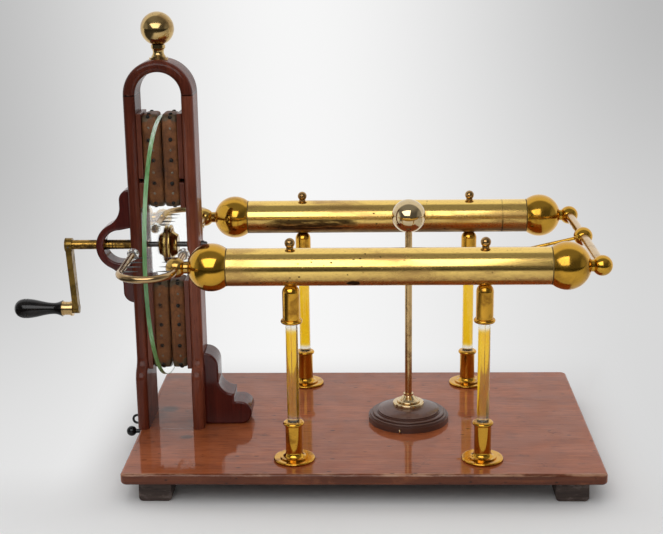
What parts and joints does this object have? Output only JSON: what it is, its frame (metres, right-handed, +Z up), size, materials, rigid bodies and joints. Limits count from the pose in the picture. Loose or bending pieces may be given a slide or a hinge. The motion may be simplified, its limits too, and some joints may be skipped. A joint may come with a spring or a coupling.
{
  "type": "friction electrical machine",
  "caption": "Plate friction electrical machine: a hand crank turns a glass plate between leather cushions, and forked brass conductors on glass pillars gather its charge.",
  "frame": {"origin": "bottom middle of the whole machine, on the plane of the feet", "axes": "+X along the base away from the crank, +Y away from the pictured front, +Z up"},
  "size_m": [1.0362, 0.5356, 0.7856],
  "materials": {
    "mahogany": "polished",
    "stained_wood": "rough",
    "turned_wood": "waxed",
    "dowel_wood": "plain",
    "brass": "polished, lacquered",
    "steel": "dark",
    "black_iron": "blackened",
    "leather": "worn",
    "amber_glass": "shellacked",
    "plate_glass": "polished",
    "clear_glass": "polished",
    "ebony": "polished"
  },
  "bodies": {
    "machine": {"base_board": "mahogany", "block_feet": "stained_wood", "wood_screws": "steel", "left_post": "mahogany", "right_post": "mahogany", "arch": "mahogany", "arch_dowels": "dowel_wood", "finial_pedestal": "brass", "finial_ball": "brass", "scroll_bracket": "mahogany", "bow_bracket": "mahogany", "bracket_screws": "steel", "bow_bush": "brass", "post_bushes": "brass", "earth_eye": "black_iron", "earth_knob": "black_iron", "upper_left_board": "mahogany", "upper_right_board": "mahogany", "lower_left_board": "mahogany", "lower_right_board": "mahogany", "upper_left_pad": "leather", "upper_right_pad": "leather", "lower_left_pad": "leather", "lower_right_pad": "leather", "pillar_sockets": "brass", "pillar_rods": "amber_glass", "pillar_caps": "brass", "pillar_nuts": "brass", "front_conductor": "brass", "rear_conductor": "brass", "front_end_balls": "brass", "rear_end_balls": "brass", "tie_screws": "brass", "front_fork": "brass", "rear_fork": "brass", "fork_points": "steel", "fork_balls": "brass", "fork_knobs": "clear_glass", "cross_bar": "brass", "cross_bar_balls": "brass"},
    "rotor": {"glass_plate": "plate_glass", "left_flange": "brass", "right_flange": "brass", "hub_washers": "leather", "shaft": "steel", "shaft_collar": "steel", "crank_sleeve": "brass", "crank_arm": "brass", "crank_pin": "steel", "handle_spindle": "steel"},
    "handle": {"grip": "ebony", "grip_ferrule": "brass"},
    "swing": {"swing_ball": "brass", "swing_rod": "brass"},
    "stand": {"stand_base": "turned_wood", "stand_ferrule": "brass", "stand_rod": "brass", "stand_ball": "brass", "stand_eye": "brass"}
  },
  "joints": [
    {"name": "plate_spin", "type": "hinge", "parent": "machine", "child": "rotor", "pos_m": [-0.2298, 0, 0.3815], "axis": [1, 0, 0], "continuous": true},
    {"name": "grip_spin", "type": "hinge", "parent": "rotor", "child": "handle", "pos_m": [-0.4298, 0.02423, 0.25683], "axis": [1, 0, 0], "continuous": true},
    {"name": "rod_swing", "type": "hinge", "parent": "machine", "child": "swing", "pos_m": [0.5012, 0.013, 0.3879], "axis": [0, 1, 0], "continuous": true},
    {"name": "stand_lift", "type": "slide", "parent": "machine", "child": "stand", "axis": [0, 0, 1], "range_m": [0, 0.4]}
  ]
}
